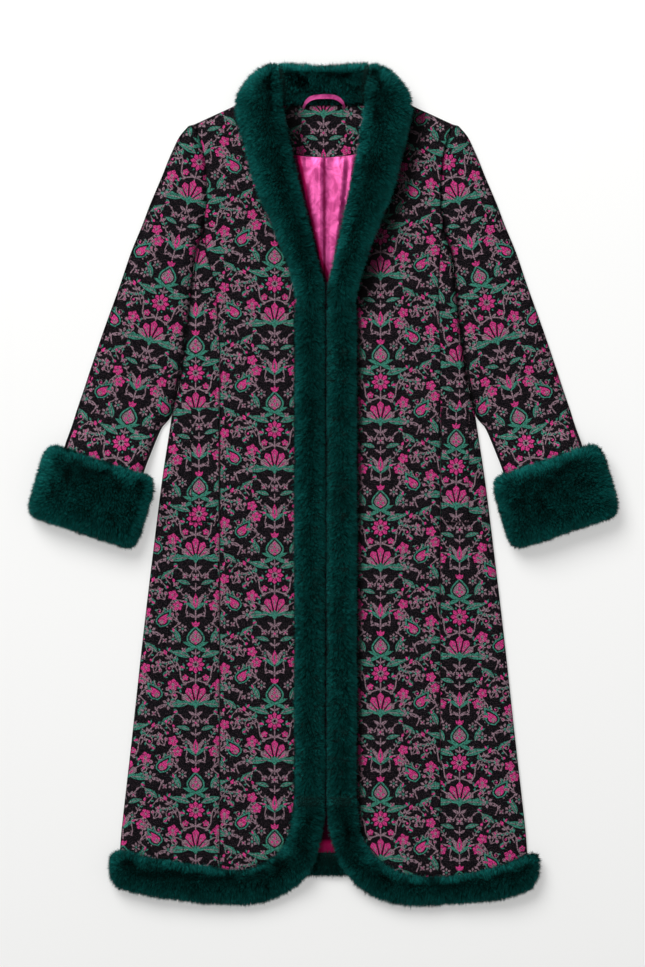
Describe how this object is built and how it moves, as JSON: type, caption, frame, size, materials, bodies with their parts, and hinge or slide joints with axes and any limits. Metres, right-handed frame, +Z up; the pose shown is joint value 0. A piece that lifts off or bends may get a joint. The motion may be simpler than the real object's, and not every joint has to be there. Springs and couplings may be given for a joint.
{
  "type": "long opera coat with fur trim",
  "caption": "Long patterned opera coat laid flat on its back, with a fur shawl collar, front bands, hem and turn-back cuffs, satin lining and hanger loop.",
  "frame": {"origin": "middle of the coat's bounding box in plan, on the surface it lies on", "axes": "+Z up from the surface, out of the front of the coat; +Y from the hem toward the collar; +X to the viewer's right when the front is seen from above with the collar up"},
  "size_m": [0.8672, 1.2428, 0.046],
  "materials": {
    "jacquard": "matte woven jacquard",
    "fur": "dense faux fur pile",
    "satin": "glossy satin"
  },
  "bodies": {
    "root": {"back": "jacquard", "front_center_left": "jacquard", "front_center_right": "jacquard", "front_side_left": "jacquard", "front_side_right": "jacquard", "pocket_welt_left": "jacquard", "pocket_welt_right": "jacquard", "sleeve_upper_left": "jacquard", "sleeve_upper_right": "jacquard", "sleeve_under_left": "jacquard", "sleeve_under_right": "jacquard", "back_neck_facing": "jacquard", "lining_back": "satin", "hanger_loop": "satin", "collar_left": "fur", "collar_right": "fur", "collar_back": "fur", "front_band_left": "fur", "front_band_right": "fur", "hem_front_left": "fur", "hem_front_right": "fur", "hem_back": "fur", "cuff_upper_left": "fur", "cuff_upper_right": "fur", "cuff_under_left": "fur", "cuff_under_right": "fur"}
  },
  "joints": []
}
